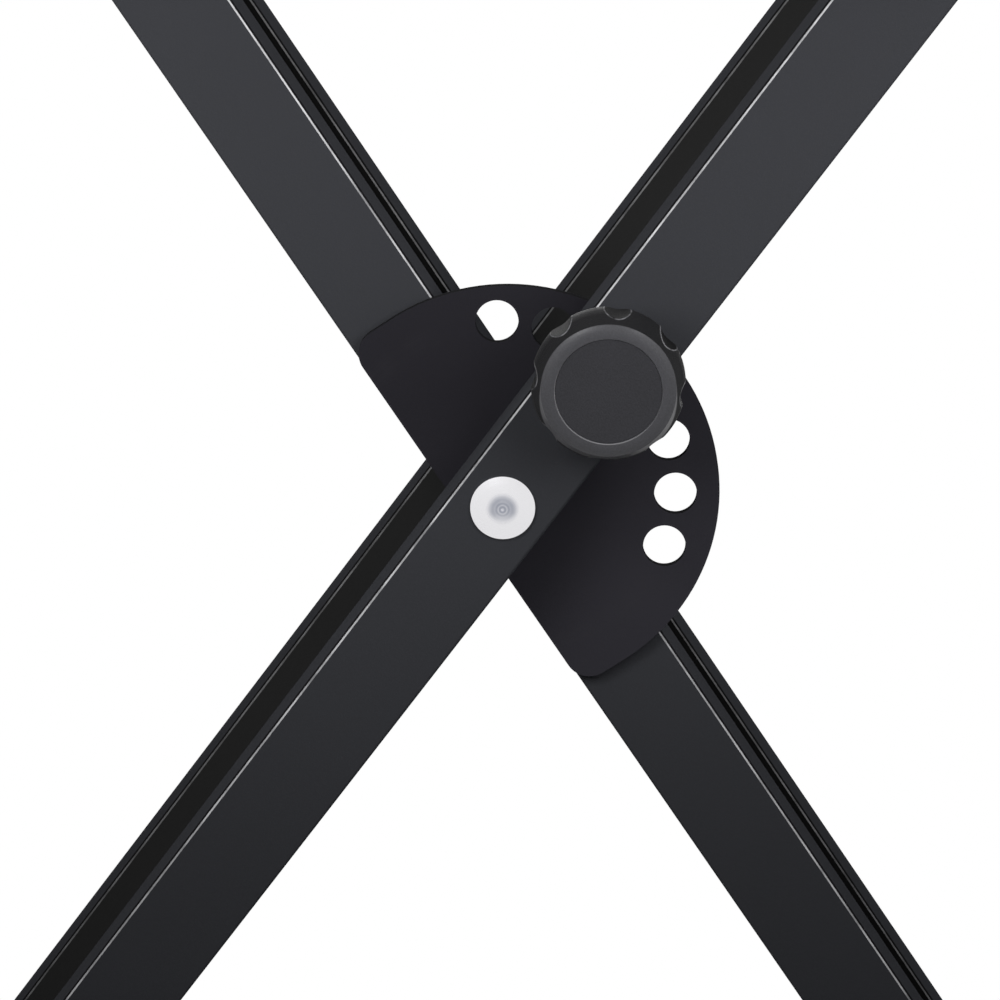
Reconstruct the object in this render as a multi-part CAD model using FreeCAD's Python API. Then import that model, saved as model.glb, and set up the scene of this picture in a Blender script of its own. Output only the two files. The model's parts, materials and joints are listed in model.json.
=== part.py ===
import FreeCAD, Part
import math
import os

# Double-braced X keyboard stand.
# Each leg is a pair of rectangular steel tubes. The inner pair passes between the two outer tubes, and one
# bolt joins all four. A spring-loaded pin in the outer front tube drops into one of the holes of a plate
# that is welded to the inner front tube, and so sets the height.
# Frame: X across the stand, Y from front to back, Z up, origin on the floor in the middle of the stand.
# All lengths are in millimetres and all angles in degrees.

# Leg tubes
tube_width = 30.0
tube_depth = 20.0
tube_wall = 1.5
tube_corner = 1.0
tube_inner_corner = 0.5
leg_angle = 55.0
lower_length = 475.0
upper_length = 475.0
pair_gap = 16.0
glide_gap = 1.0

# Locking plate: a half disc with straight ends, cut off flush with the tube's edge
plate_thickness = 3.0
plate_radius = 65.3
plate_offset = 0.4
plate_slide = 1.75
plate_corner = 7.8
hole_circle_radius = 53.0
hole_radius = 6.6
hole_pitch = 18.75
hole_count = 7
pinned_hole = 2

# Pivot
bolt_radius = 5.0
bolt_head_radius = 9.85
bolt_head_edge = 0.8
bolt_head_height = 2.8
bolt_tail = 3.0
nut_flats = 17.0
nut_height = 10.0
pivot_washer_radius = 10.5
pivot_washer_thickness = 2.0
glide_washer_radius = 12.0
crush_sleeve_radius = 8.0
spacer_radius = 10.0

# Spring-loaded pin and its housing
pin_hole_play = 1.4
pin_side_clearance = 0.15
pin_chamfer = 1.2
pin_plate_clearance = 0.4
pin_length = 14.6
rod_radius = 3.0
housing_radius = 10.0
housing_flange_radius = 13.0
housing_flange_thickness = 2.0
housing_neck_radius = 9.0
housing_neck_length = 8.0
housing_guide_length = 10.0
chamber_radius = 7.0
gland_thickness = 4.0
spring_wire_radius = 0.5
spring_turns = 5
spring_seat_gap = 0.1

# Pull knob
knob_radius = 22.9
knob_height = 18.0
knob_stand_off = 8.0
knob_face_radius = 16.2
knob_rim_radius = 19.9
knob_rim_depth = 1.2
knob_shoulder_radius = 22.2
knob_shoulder_depth = 6.2
knob_widest_depth = 9.5
knob_skirt_radius = 21.6
knob_skirt_chamfer = 1.5
knob_valleys = 8
knob_turn = 30.0
knob_valley_radius = 21.3
knob_valley_cut = 6.3
knob_valley_blend = 0.6
knob_cavity_radius = 11.0
knob_cavity_depth = 12.0
knob_cap_radius = 15.6
knob_cap_thickness = 1.8
knob_cap_sink = 0.25
knob_cap_groove = 0.1
knob_cap_chamfer = 0.2
knob_nut_flats = 10.0
knob_nut_height = 3.0
knob_screw_radius = 2.0
knob_screw_length = 10.0
knob_screw_head_radius = 3.8
knob_screw_head_height = 2.0
knob_screw_head_gap = 0.2

# Foot bars and their turning, off-centre caps
foot_bar_radius = 19.0
foot_bar_wall = 2.0
foot_bar_length = 420.0
plug_insert = 30.0
plug_flange = 3.0
stub_radius = 10.0
cap_length = 36.0
cap_flat_radius = 24.0
cap_sides = 12
cap_edge = 3.0
cap_offset = 2.5
cap_end_gap = 0.3
cap_recess_radius = 14.0
cap_recess_depth = 9.0
cap_washer_radius = 13.0
cap_washer_thickness = 1.6
cap_screw_radius = 3.0
cap_screw_length = 24.0
cap_screw_head_radius = 6.0
cap_screw_head_height = 4.0
cap_screw_head_edge = 1.5
hex_socket_flats = 4.0
hex_socket_depth = 2.2

# Keyboard arms, with grips and end caps
arm_radius = 16.0
arm_wall = 2.0
arm_length = 340.0
sleeve_thickness = 5.0
sleeve_length = 96.0
sleeve_end_chamfer = 1.5
rib_pitch = 8.0
rib_groove_width = 2.4
rib_groove_depth = 1.2
end_cap_radius = 27.0
end_cap_thickness = 9.0
end_cap_round = 3.0
end_cap_insert = 25.0

# Fits
running_clearance = 0.05
push_clearance = 0.05
weld_gap = 0.2
cut_overrun = 5.0

# Worked out from the sizes above
full_turn = 360.0
half_turn = full_turn / 2
lean = full_turn / 4 - leg_angle
outer_front_y = -(4 * tube_depth + 2 * glide_gap + plate_thickness + pair_gap) / 2
outer_back_y = outer_front_y + tube_depth
plate_front_y = outer_back_y + glide_gap
inner_front_y = plate_front_y + plate_thickness
inner_back_y = inner_front_y + tube_depth
rear_inner_front_y = inner_back_y + pair_gap
rear_inner_back_y = rear_inner_front_y + tube_depth
rear_outer_front_y = rear_inner_back_y + glide_gap
rear_outer_back_y = rear_outer_front_y + tube_depth

foot_axis_z = cap_flat_radius - cap_offset
pivot_z = foot_axis_z + lower_length * math.sin(math.radians(leg_angle))
foot_x = lower_length * math.cos(math.radians(leg_angle))
arm_x = upper_length * math.cos(math.radians(leg_angle))
arm_z = pivot_z + upper_length * math.sin(math.radians(leg_angle))

pivot_hole_radius = bolt_radius + running_clearance
pin_radius = hole_radius - pin_hole_play
spring_radius = (rod_radius + pin_radius) / 2
pin_lag = math.degrees(math.asin((pin_hole_play - pin_side_clearance) / hole_circle_radius))
pin_tip_y = plate_front_y - pin_plate_clearance
pin_shoulder_y = pin_tip_y - pin_length
housing_front_y = outer_front_y - housing_flange_thickness - housing_neck_length
gland_back_y = housing_front_y + gland_thickness
knob_back_y = outer_front_y - knob_stand_off
knob_face_y = knob_back_y - knob_height
knob_hub_y = knob_back_y - knob_cavity_depth
knob_cap_y = knob_face_y + knob_cap_sink
knob_seat_y = knob_cap_y + knob_cap_thickness
knob_screw_seat_y = knob_seat_y + knob_screw_head_height + knob_screw_head_gap
sleeve_radius = arm_radius + sleeve_thickness

origin = FreeCAD.Vector(0, 0, 0)
along_y = FreeCAD.Vector(0, 1, 0)
along_z = FreeCAD.Vector(0, 0, 1)


def vec(x, y, z):
    return FreeCAD.Vector(x, y, z)


def polar(radius, angle, y=0.0):
    """Point at an angle from X towards Z, seen from the front."""
    turn = math.radians(angle)
    return vec(radius * math.cos(turn), y, radius * math.sin(turn))


def bar(radius, start, end, x=0.0, z=0.0):
    """Round bar along Y."""
    return Part.makeCylinder(radius, end - start, vec(x, start, z), along_y)


def ring(radius, hole, start, end, x=0.0, z=0.0):
    """Round bar along Y with a round hole through it."""
    return bar(radius, start, end, x, z).cut(bar(hole, start - cut_overrun, end + cut_overrun, x, z))


def turned(outline, x=0.0, z=0.0):
    """Solid turned about an axis along Y, from corners given as (radius, y)."""
    points = [vec(radius, y, 0) for radius, y in outline]
    return turned_edges(Part.makePolygon(points + points[:1]).Edges, x, z)


def turned_edges(edges, x=0.0, z=0.0):
    """Solid turned about an axis along Y, from the edges of a closed outline in the XY plane."""
    face = Part.Face(Part.Wire(edges))
    solid = face.revolve(origin, along_y, full_turn)
    solid.translate(vec(x, 0, z))
    return solid


def hexagon(flats, start, end, x=0.0, z=0.0):
    """Hexagonal prism along Y."""
    corner = flats / math.sqrt(3)
    points = [polar(corner, side * full_turn / 6, start) + vec(x, 0, z) for side in range(6 + 1)]
    return Part.Face(Part.makePolygon(points)).extrude(vec(0, end - start, 0))


def arc(start, middle, end):
    return Part.Arc(start, middle, end).toShape()


def line(start, end):
    return Part.LineSegment(start, end).toShape()


def in_leg(shape, side):
    """Leans a piece modelled on an upright leg, and lifts it to the pivot. Side 1 is outer, -1 inner."""
    placed = shape.copy()
    placed.rotate(origin, along_y, side * lean)
    placed.translate(vec(0, 0, pivot_z))
    return placed


def turned_round(shape, x):
    """The same piece at the front end of a bar: a half turn about the bar's upright middle line."""
    copy = shape.copy()
    copy.rotate(vec(x, 0, 0), along_z, half_turn)
    return copy


def rounded_rectangle(width, depth, corner, y_front, z):
    """Face across a leg, with its front edge at y_front."""
    right = width / 2
    back = y_front + depth
    near = corner * (1 - math.sqrt(0.5))
    x_in = right - corner
    x_near = right - near
    edges = [
        line(vec(-x_in, y_front, z), vec(x_in, y_front, z)),
        arc(vec(x_in, y_front, z), vec(x_near, y_front + near, z), vec(right, y_front + corner, z)),
        line(vec(right, y_front + corner, z), vec(right, back - corner, z)),
        arc(vec(right, back - corner, z), vec(x_near, back - near, z), vec(x_in, back, z)),
        line(vec(x_in, back, z), vec(-x_in, back, z)),
        arc(vec(-x_in, back, z), vec(-x_near, back - near, z), vec(-right, back - corner, z)),
        line(vec(-right, back - corner, z), vec(-right, y_front + corner, z)),
        arc(vec(-right, y_front + corner, z), vec(-x_near, y_front + near, z), vec(-x_in, y_front, z)),
    ]
    return Part.Face(Part.Wire(edges))


def leg_tube(y_front):
    """Hollow tube from the foot bar to the arm, with saddle-cut ends and the pivot hole."""
    length = vec(0, 0, lower_length + upper_length)
    outside = rounded_rectangle(tube_width, tube_depth, tube_corner, y_front, -lower_length).extrude(length)
    inside = rounded_rectangle(
        tube_width - 2 * tube_wall,
        tube_depth - 2 * tube_wall,
        tube_inner_corner,
        y_front + tube_wall,
        -lower_length,
    ).extrude(length)
    start = y_front - cut_overrun
    end = y_front + tube_depth + cut_overrun
    cuts = [
        inside,
        bar(foot_bar_radius + weld_gap, start, end, 0, -lower_length),
        bar(arm_radius + weld_gap, start, end, 0, upper_length),
        bar(pivot_hole_radius, start, end),
    ]
    return outside.cut(cuts)


def outer_front_tube():
    """The front tube also takes the pin's housing."""
    start = outer_front_y - cut_overrun
    end = outer_back_y + cut_overrun
    hole = bar(housing_radius + push_clearance, start, end, 0, hole_circle_radius)
    return leg_tube(outer_front_y).cut(hole)


def plate_outline(y):
    """Half circle, straight ends square to the leg, and a straight side with rounded corners."""
    left = -tube_width / 2
    corner_x = left + plate_corner
    near = plate_corner * (1 - math.sqrt(0.5))
    top = plate_radius - plate_slide
    bottom = -plate_radius - plate_slide
    high = top - plate_corner
    low = bottom + plate_corner
    tip = vec(plate_offset + plate_radius, y, -plate_slide)
    return [
        arc(vec(plate_offset, y, bottom), tip, vec(plate_offset, y, top)),
        line(vec(plate_offset, y, top), vec(corner_x, y, top)),
        arc(vec(corner_x, y, top), vec(left + near, y, top - near), vec(left, y, high)),
        line(vec(left, y, high), vec(left, y, low)),
        arc(vec(left, y, low), vec(left + near, y, bottom + near), vec(corner_x, y, bottom)),
        line(vec(corner_x, y, bottom), vec(plate_offset, y, bottom)),
    ]


def hole_angle(number):
    """Angle of a plate hole on the upright inner leg. Under load the pin leans on the side of its hole, so
    the pinned hole lies a little past the outer leg's line."""
    return full_turn / 4 - 2 * lean + pin_lag + (pinned_hole - number) * hole_pitch


def locking_plate():
    plate = Part.Face(Part.Wire(plate_outline(plate_front_y))).extrude(vec(0, plate_thickness, 0))
    start = plate_front_y - cut_overrun
    end = inner_front_y + cut_overrun
    holes = [bar(pivot_hole_radius, start, end)]
    for number in range(hole_count):
        centre = polar(hole_circle_radius, hole_angle(number))
        holes.append(bar(hole_radius, start, end, centre.x, centre.z))
    return plate.cut(holes)


def crush_sleeves(fronts):
    """Steel sleeves round the bolt, which keep it from squeezing the tubes flat."""
    sleeves = []
    for y_front in fronts:
        start = y_front + tube_wall
        end = y_front + tube_depth - tube_wall
        sleeves.append(ring(crush_sleeve_radius, pivot_hole_radius, start, end))
    return Part.makeCompound(sleeves)


def pivot_bolt():
    """Domed head against the front tube, shank through all four tubes, tail past the nut."""
    rise = bolt_head_height - bolt_head_edge
    dome = (bolt_head_radius**2 + rise**2) / (2 * rise)
    crown_y = outer_front_y - bolt_head_height
    edge_y = outer_front_y - bolt_head_edge
    half = math.asin(bolt_head_radius / dome) / 2
    middle = vec(dome * math.sin(half), crown_y + dome * (1 - math.cos(half)), 0)
    end_y = rear_outer_back_y + pivot_washer_thickness + nut_height + bolt_tail
    corners = [
        vec(bolt_head_radius, edge_y, 0),
        vec(bolt_head_radius, outer_front_y, 0),
        vec(bolt_radius, outer_front_y, 0),
        vec(bolt_radius, end_y, 0),
        vec(0, end_y, 0),
        vec(0, crown_y, 0),
    ]
    edges = [arc(corners[-1], middle, corners[0])]
    edges += [line(a, b) for a, b in zip(corners, corners[1:])]
    return turned_edges(edges)


def pivot_washer():
    start = rear_outer_back_y
    return ring(pivot_washer_radius, pivot_hole_radius, start, start + pivot_washer_thickness)


def pivot_nut():
    start = rear_outer_back_y + pivot_washer_thickness
    end = start + nut_height
    hole = bar(pivot_hole_radius, start - cut_overrun, end + cut_overrun)
    corner = nut_flats / math.sqrt(3)
    fall = corner - nut_flats / 2
    rounding = turned([(0, start), (corner, start), (corner, end - fall), (nut_flats / 2, end), (0, end)])
    return hexagon(nut_flats, start, end).common(rounding).cut(hole)


def glide_washers():
    """Thin washers on which the two legs turn past each other."""
    places = [outer_back_y, rear_inner_back_y]
    return Part.makeCompound(
        [ring(glide_washer_radius, pivot_hole_radius, start, start + glide_gap) for start in places]
    )


def pivot_spacer():
    return ring(spacer_radius, pivot_hole_radius, inner_back_y, rear_inner_front_y)


def plunger_housing():
    """Flanged sleeve through the outer front tube, with a spring chamber and a guide for the pin."""
    guide_y = outer_back_y - housing_guide_length
    guide = pin_radius + running_clearance
    return turned(
        [
            (chamber_radius, housing_front_y),
            (housing_neck_radius, housing_front_y),
            (housing_neck_radius, outer_front_y - housing_flange_thickness),
            (housing_flange_radius, outer_front_y - housing_flange_thickness),
            (housing_flange_radius, outer_front_y),
            (housing_radius, outer_front_y),
            (housing_radius, outer_back_y),
            (guide, outer_back_y),
            (guide, guide_y),
            (chamber_radius, guide_y),
        ],
        0,
        hole_circle_radius,
    )


def housing_gland():
    """Plug screwed into the housing's mouth. The spring pushes against it."""
    hole = rod_radius + running_clearance
    radius = chamber_radius - push_clearance
    return ring(radius, hole, housing_front_y, gland_back_y, 0, hole_circle_radius)


def lock_pin():
    """Pin with a chamfered tip, and the thinner rod that carries the knob."""
    rod_end_y = knob_screw_seat_y + knob_screw_head_gap
    thread_end_y = rod_end_y + knob_screw_length
    thread = knob_screw_radius + push_clearance
    return turned(
        [
            (0, thread_end_y),
            (thread, thread_end_y),
            (thread, rod_end_y),
            (rod_radius, rod_end_y),
            (rod_radius, pin_shoulder_y),
            (pin_radius, pin_shoulder_y),
            (pin_radius, pin_tip_y - pin_chamfer),
            (pin_radius - pin_chamfer, pin_tip_y),
            (0, pin_tip_y),
        ],
        0,
        hole_circle_radius,
    )


def spring_ends():
    """Depths of the spring wire's middle at its two ends."""
    inset = spring_wire_radius + spring_seat_gap
    return gland_back_y + inset, pin_shoulder_y - inset


def spring_point(turns):
    start, end = spring_ends()
    rise = (end - start) * turns / spring_turns
    return polar(spring_radius, turns * full_turn, start + rise) + vec(0, 0, hole_circle_radius)


def spring_direction(turns):
    start, end = spring_ends()
    angle = 2 * math.pi * turns
    climb = (end - start) / spring_turns / (2 * math.pi)
    way = vec(-spring_radius * math.sin(angle), climb, spring_radius * math.cos(angle))
    return way.normalize()


def tangent_arc(start, corner, end):
    """Arc that touches the two equal runs from a corner."""
    chord = (start + end) * 0.5
    half_angle = math.atan2((corner - chord).Length, (start - chord).Length)
    fall = math.tan(half_angle / 2) / math.tan(half_angle)
    return arc(start, chord + (corner - chord) * fall, end)


def biarc(start, start_way, end, end_way):
    """Two arcs that join two points smoothly along the given directions."""
    gap = end - start
    ways = start_way + end_way
    spread = 2 * (1 - start_way.dot(end_way))
    along = gap.dot(ways)
    run = (math.sqrt(along**2 + spread * gap.dot(gap)) - along) / spread
    first = start + start_way * run
    second = end - end_way * run
    joint = (first + second) * 0.5
    return [tangent_arc(start, first, joint), tangent_arc(joint, second, end)]


def pin_spring():
    """One unbroken wire, wound in quarter turns."""
    steps = 4 * spring_turns
    edges = []
    for step in range(steps):
        a = step / 4
        b = (step + 1) / 4
        edges += biarc(spring_point(a), spring_direction(a), spring_point(b), spring_direction(b))
    section = Part.Wire(Part.Circle(spring_point(0), spring_direction(0), spring_wire_radius).toShape())
    return Part.Wire(edges).makePipeShell([section], True, False)


def spring_least_gap():
    """Least gap between the wire and itself, measured on points one turn apart or nearly so."""
    per_turn = 48
    points = [spring_point(step / per_turn) for step in range(per_turn * spring_turns + 1)]
    near = per_turn // 2
    gaps = [
        (points[i] - points[j]).Length
        for i in range(len(points))
        for j in range(i + near, len(points))
    ]
    return min(gaps) - 2 * spring_wire_radius


def valley_blend(turn, side):
    """Small arc from the valley at an angle to the lobe beside it: on the valley, halfway, on the lobe."""
    reach = knob_valley_radius + knob_valley_cut
    inner = knob_radius - knob_valley_blend
    away = knob_valley_cut + knob_valley_blend
    swing = math.degrees(math.acos((reach**2 + inner**2 - away**2) / (2 * reach * inner)))
    valley = polar(reach, turn)
    bearing = turn + side * swing
    centre = polar(inner, bearing)
    on_valley = valley + (centre - valley) * (knob_valley_cut / away)
    on_lobe = polar(knob_radius, bearing)
    out = (on_valley - centre).normalize() + (on_lobe - centre).normalize()
    return on_valley, centre + out.normalize() * knob_valley_blend, on_lobe


def knob_sector(turn):
    """One lobe with the blends on both sides of it, and the valley after it."""
    pitch = full_turn / knob_valleys
    first = valley_blend(turn, 1)
    last = valley_blend(turn + pitch, -1)
    after = valley_blend(turn + pitch, 1)
    return [
        arc(*first),
        arc(first[2], polar(knob_radius, turn + pitch / 2), last[2]),
        arc(last[2], last[1], last[0]),
        arc(last[0], polar(knob_valley_radius, turn + pitch), after[0]),
    ]


def knob_lobed_bar():
    """Lobed outline, drawn out over the knob's whole height."""
    edges = []
    for valley in range(knob_valleys):
        edges += knob_sector(knob_turn + valley * full_turn / knob_valleys)
    prism = Part.Face(Part.Wire(edges)).extrude(vec(0, knob_height, 0))
    prism.translate(vec(0, knob_face_y, 0))
    return prism


def knob_round_body():
    """Body of revolution: flat face, domed rim, sloping shoulder, swelling side and chamfered skirt."""
    band = knob_rim_radius - knob_face_radius
    dome = (band**2 + knob_rim_depth**2) / (2 * knob_rim_depth)
    half = math.asin(band / dome) / 2
    halfway = vec(knob_face_radius + dome * math.sin(half), knob_face_y + dome * (1 - math.cos(half)), 0)
    face = vec(knob_face_radius, knob_face_y, 0)
    rim = vec(knob_rim_radius, knob_face_y + knob_rim_depth, 0)
    shoulder = vec(knob_shoulder_radius, knob_face_y + knob_shoulder_depth, 0)
    skirt = vec(knob_skirt_radius, knob_back_y - knob_skirt_chamfer, 0)
    back = vec(knob_skirt_radius - knob_skirt_chamfer, knob_back_y, 0)
    return turned_edges(
        [
            line(vec(0, knob_face_y, 0), face),
            arc(face, halfway, rim),
            line(rim, shoulder),
            arc(shoulder, vec(knob_radius, knob_face_y + knob_widest_depth, 0), skirt),
            line(skirt, back),
            line(back, vec(0, knob_back_y, 0)),
            line(vec(0, knob_back_y, 0), vec(0, knob_face_y, 0)),
        ]
    )


def knob():
    """Shell over the housing's neck, with finger valleys round it and a seat for its face disc."""
    recess = knob_cap_radius + knob_cap_groove
    chamfer = turned(
        [
            (0, knob_face_y),
            (recess + knob_cap_chamfer, knob_face_y),
            (recess, knob_face_y + knob_cap_chamfer),
            (0, knob_face_y + knob_cap_chamfer),
        ]
    )
    cuts = [
        chamfer,
        bar(recess, knob_face_y, knob_seat_y),
        bar(knob_screw_head_radius + knob_screw_head_gap, knob_seat_y, knob_screw_seat_y),
        bar(rod_radius + push_clearance, knob_screw_seat_y, knob_hub_y),
        bar(knob_cavity_radius, knob_hub_y, knob_back_y + cut_overrun),
    ]
    return on_pin(knob_lobed_bar().common(knob_round_body()).cut(cuts))


def on_pin(shape):
    """Moves a piece from the pivot's axis to the pin's."""
    shape.translate(vec(0, 0, hole_circle_radius))
    return shape


def knob_cap():
    """Disc pressed into the knob's face, a little below it."""
    return on_pin(bar(knob_cap_radius, knob_cap_y, knob_seat_y))


def knob_screw():
    """Holds the knob on the rod, under the face disc."""
    head_y = knob_seat_y + knob_screw_head_gap
    end_y = knob_screw_seat_y + knob_screw_length
    socket = hexagon(hex_socket_flats, head_y, head_y + knob_screw_head_height / 2)
    screw = turned(
        [
            (0, head_y),
            (knob_screw_head_radius, head_y),
            (knob_screw_head_radius, knob_screw_seat_y),
            (knob_screw_radius, knob_screw_seat_y),
            (knob_screw_radius, end_y),
            (0, end_y),
        ]
    )
    return on_pin(screw.cut(socket))


def knob_nut():
    """Thin nut on the rod, against the inside of the knob's hub."""
    end_y = knob_hub_y + knob_nut_height
    hole = bar(rod_radius + push_clearance, knob_hub_y - cut_overrun, end_y + cut_overrun)
    return on_pin(hexagon(knob_nut_flats, knob_hub_y, end_y).cut(hole))


def both_ends(piece, x):
    """A piece at the back end of a bar, and its twin at the front end."""
    return Part.makeCompound([piece, turned_round(piece, x)])


def foot_bar(x):
    end = foot_bar_length / 2
    return ring(foot_bar_radius, foot_bar_radius - foot_bar_wall, -end, end, x, foot_axis_z)


def cap_places():
    """Depths of the stub's end, the cap's two faces and the floor of its recess, at the back end."""
    start = foot_bar_length / 2 + plug_flange + cap_end_gap
    end = start + cap_length
    recess = end - cap_recess_depth
    return recess + cap_end_gap, start, end, recess


def foot_plug(x):
    """Plug in the bar's end, with a stub on which the cap turns."""
    bar_end = foot_bar_length / 2
    stub_end, _, _, _ = cap_places()
    insert = foot_bar_radius - foot_bar_wall - push_clearance
    thread = cap_screw_radius + push_clearance
    return turned(
        [
            (0, bar_end - plug_insert),
            (insert, bar_end - plug_insert),
            (insert, bar_end),
            (foot_bar_radius, bar_end),
            (foot_bar_radius, bar_end + plug_flange),
            (stub_radius, bar_end + plug_flange),
            (stub_radius, stub_end),
            (thread, stub_end),
            (thread, stub_end - cap_screw_length),
            (0, stub_end - cap_screw_length),
        ],
        x,
        foot_axis_z,
    )


def cap_prism(start, end):
    """Many-sided prism with one flat straight down."""
    corner = cap_flat_radius / math.cos(math.pi / cap_sides)
    step = full_turn / cap_sides
    points = [polar(corner, (side + 0.5) * step - full_turn / 4, start) for side in range(cap_sides + 1)]
    return Part.Face(Part.makePolygon(points)).extrude(vec(0, end - start, 0))


def foot_cap(x):
    """Rubber cap, off centre on the stub so that a turn of it levels the stand."""
    _, start, end, recess = cap_places()
    corner = cap_flat_radius / math.cos(math.pi / cap_sides)
    rounding = turned(
        [
            (0, start),
            (corner - cap_edge, start),
            (corner, start + cap_edge),
            (corner, end - cap_edge),
            (corner - cap_edge, end),
            (0, end),
        ]
    )
    cap = cap_prism(start, end).common(rounding)
    cap.translate(vec(x, 0, foot_axis_z + cap_offset))
    bore = bar(stub_radius + running_clearance, start - cut_overrun, end + cut_overrun, x, foot_axis_z)
    well = bar(cap_recess_radius, recess, end + cut_overrun, x, foot_axis_z)
    return cap.cut([bore, well])


def cap_washer(x):
    start, _, _, _ = cap_places()
    hole = cap_screw_radius + push_clearance
    return ring(cap_washer_radius, hole, start, start + cap_washer_thickness, x, foot_axis_z)


def cap_screw(x):
    """Socket screw that keeps the washer, and so the cap, on the stub."""
    stub_end, _, _, _ = cap_places()
    seat = stub_end + cap_washer_thickness
    top = seat + cap_screw_head_height
    tip = stub_end - cap_screw_length
    socket = hexagon(hex_socket_flats, top - hex_socket_depth, top + cut_overrun, x, foot_axis_z)
    screw = turned(
        [
            (0, tip),
            (cap_screw_radius, tip),
            (cap_screw_radius, seat),
            (cap_screw_head_radius, seat),
            (cap_screw_head_radius, top - cap_screw_head_edge),
            (cap_screw_head_radius - cap_screw_head_edge, top),
            (0, top),
        ],
        x,
        foot_axis_z,
    )
    return screw.cut(socket)


def arm(x):
    end = arm_length / 2
    return ring(arm_radius, arm_radius - arm_wall, -end, end, x, arm_z)


def arm_sleeve(x):
    """Rubber grip with grooves round it, between the legs and the end cap."""
    end = arm_length / 2
    start = end - sleeve_length
    bore = arm_radius + push_clearance
    edge = sleeve_radius - sleeve_end_chamfer
    floor = sleeve_radius - rib_groove_depth
    outline = [(bore, start), (edge, start), (sleeve_radius, start + sleeve_end_chamfer)]
    grooves = int((sleeve_length - rib_pitch) / rib_pitch)
    first = start + (sleeve_length - (grooves - 1) * rib_pitch) / 2
    for groove in range(grooves):
        middle = first + groove * rib_pitch
        outline += [
            (sleeve_radius, middle - rib_groove_width / 2),
            (floor, middle - rib_groove_width / 4),
            (floor, middle + rib_groove_width / 4),
            (sleeve_radius, middle + rib_groove_width / 2),
        ]
    outline += [(sleeve_radius, end - sleeve_end_chamfer), (edge, end), (bore, end)]
    return turned(outline, x, arm_z)


def arm_end_cap(x):
    """Rubber cap whose rim stands above the grips and keeps the keyboard from sliding off."""
    end = arm_length / 2
    top = end + end_cap_thickness
    near = end_cap_round * (1 - math.sqrt(0.5))
    insert = arm_radius - arm_wall - push_clearance
    flat = end_cap_radius - end_cap_round
    corners = [
        vec(0, end - end_cap_insert, 0),
        vec(insert, end - end_cap_insert, 0),
        vec(insert, end, 0),
        vec(flat, end, 0),
        vec(end_cap_radius, end + end_cap_round, 0),
        vec(end_cap_radius, top - end_cap_round, 0),
        vec(flat, top, 0),
        vec(0, top, 0),
    ]
    edges = [line(a, b) for a, b in zip(corners[:3], corners[1:4])]
    edges.append(arc(corners[3], vec(end_cap_radius - near, end + near, 0), corners[4]))
    edges.append(line(corners[4], corners[5]))
    edges.append(arc(corners[5], vec(end_cap_radius - near, top - near, 0), corners[6]))
    edges += [line(corners[6], corners[7]), line(corners[7], corners[0])]
    return turned_edges(edges, x, arm_z)


def leg_end_pieces(name, foot_side):
    """Foot bar, arm and what is on them, for the leg whose foot is on the given side."""
    x = foot_side * foot_x
    top_x = -foot_side * arm_x
    cap = foot_cap(x)
    return {
        name + "_foot_bar": foot_bar(x),
        name + "_foot_plugs": both_ends(foot_plug(x), x),
        name + "_rear_foot_cap": cap,
        name + "_front_foot_cap": turned_round(cap, x),
        name + "_cap_washers": both_ends(cap_washer(x), x),
        name + "_cap_screws": both_ends(cap_screw(x), x),
        name + "_arm": arm(top_x),
        name + "_arm_sleeves": both_ends(arm_sleeve(top_x), top_x),
        name + "_arm_end_caps": both_ends(arm_end_cap(top_x), top_x),
    }


def stand():
    """Every piece of the stand by its node's name, in place."""
    outer = {
        "outer_front_tube": outer_front_tube(),
        "outer_rear_tube": leg_tube(rear_outer_front_y),
        "outer_crush_sleeves": crush_sleeves([outer_front_y, rear_outer_front_y]),
        "pivot_bolt": pivot_bolt(),
        "pivot_washer": pivot_washer(),
        "pivot_nut": pivot_nut(),
        "glide_washers": glide_washers(),
        "plunger_housing": plunger_housing(),
        "housing_gland": housing_gland(),
        "pin_spring": pin_spring(),
        "lock_pin": lock_pin(),
        "knob": knob(),
        "knob_cap": knob_cap(),
        "knob_screw": knob_screw(),
        "knob_nut": knob_nut(),
    }
    inner = {
        "inner_front_tube": leg_tube(inner_front_y),
        "inner_rear_tube": leg_tube(rear_inner_front_y),
        "inner_crush_sleeves": crush_sleeves([inner_front_y, rear_inner_front_y]),
        "pivot_spacer": pivot_spacer(),
        "locking_plate": locking_plate(),
    }
    pieces = {name: in_leg(shape, 1) for name, shape in outer.items()}
    pieces.update({name: in_leg(shape, -1) for name, shape in inner.items()})
    pieces.update(leg_end_pieces("outer", -1))
    pieces.update(leg_end_pieces("inner", 1))
    return pieces


os.makedirs("parts", exist_ok=True)
for node, solid in stand().items():
    solid.exportStep(os.path.join("parts", node + ".step"))
    print(f"{node}: {len(solid.Solids)} solids, {solid.Volume / 1000:.2f} cm3, valid {solid.isValid()}")
print(f"spring's least gap to itself: {spring_least_gap():.2f} mm")
print(f"pivot {pivot_z:.1f} mm and arms {arm_z + sleeve_radius:.1f} mm above the floor")
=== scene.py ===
# %% [markdown]
# A folding double-braced X stand for a keyboard: four steel tubes, a pierced locking plate and a pull knob.
# The construction comes in ready made, as a frame of separate nodes. This script gives every node its
# finish, adds the small things that only show close up, and sets up the studio and the camera.

# %% Load the frame
import json
import math

import bpy
from mathutils import Euler, Matrix, Vector


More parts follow.
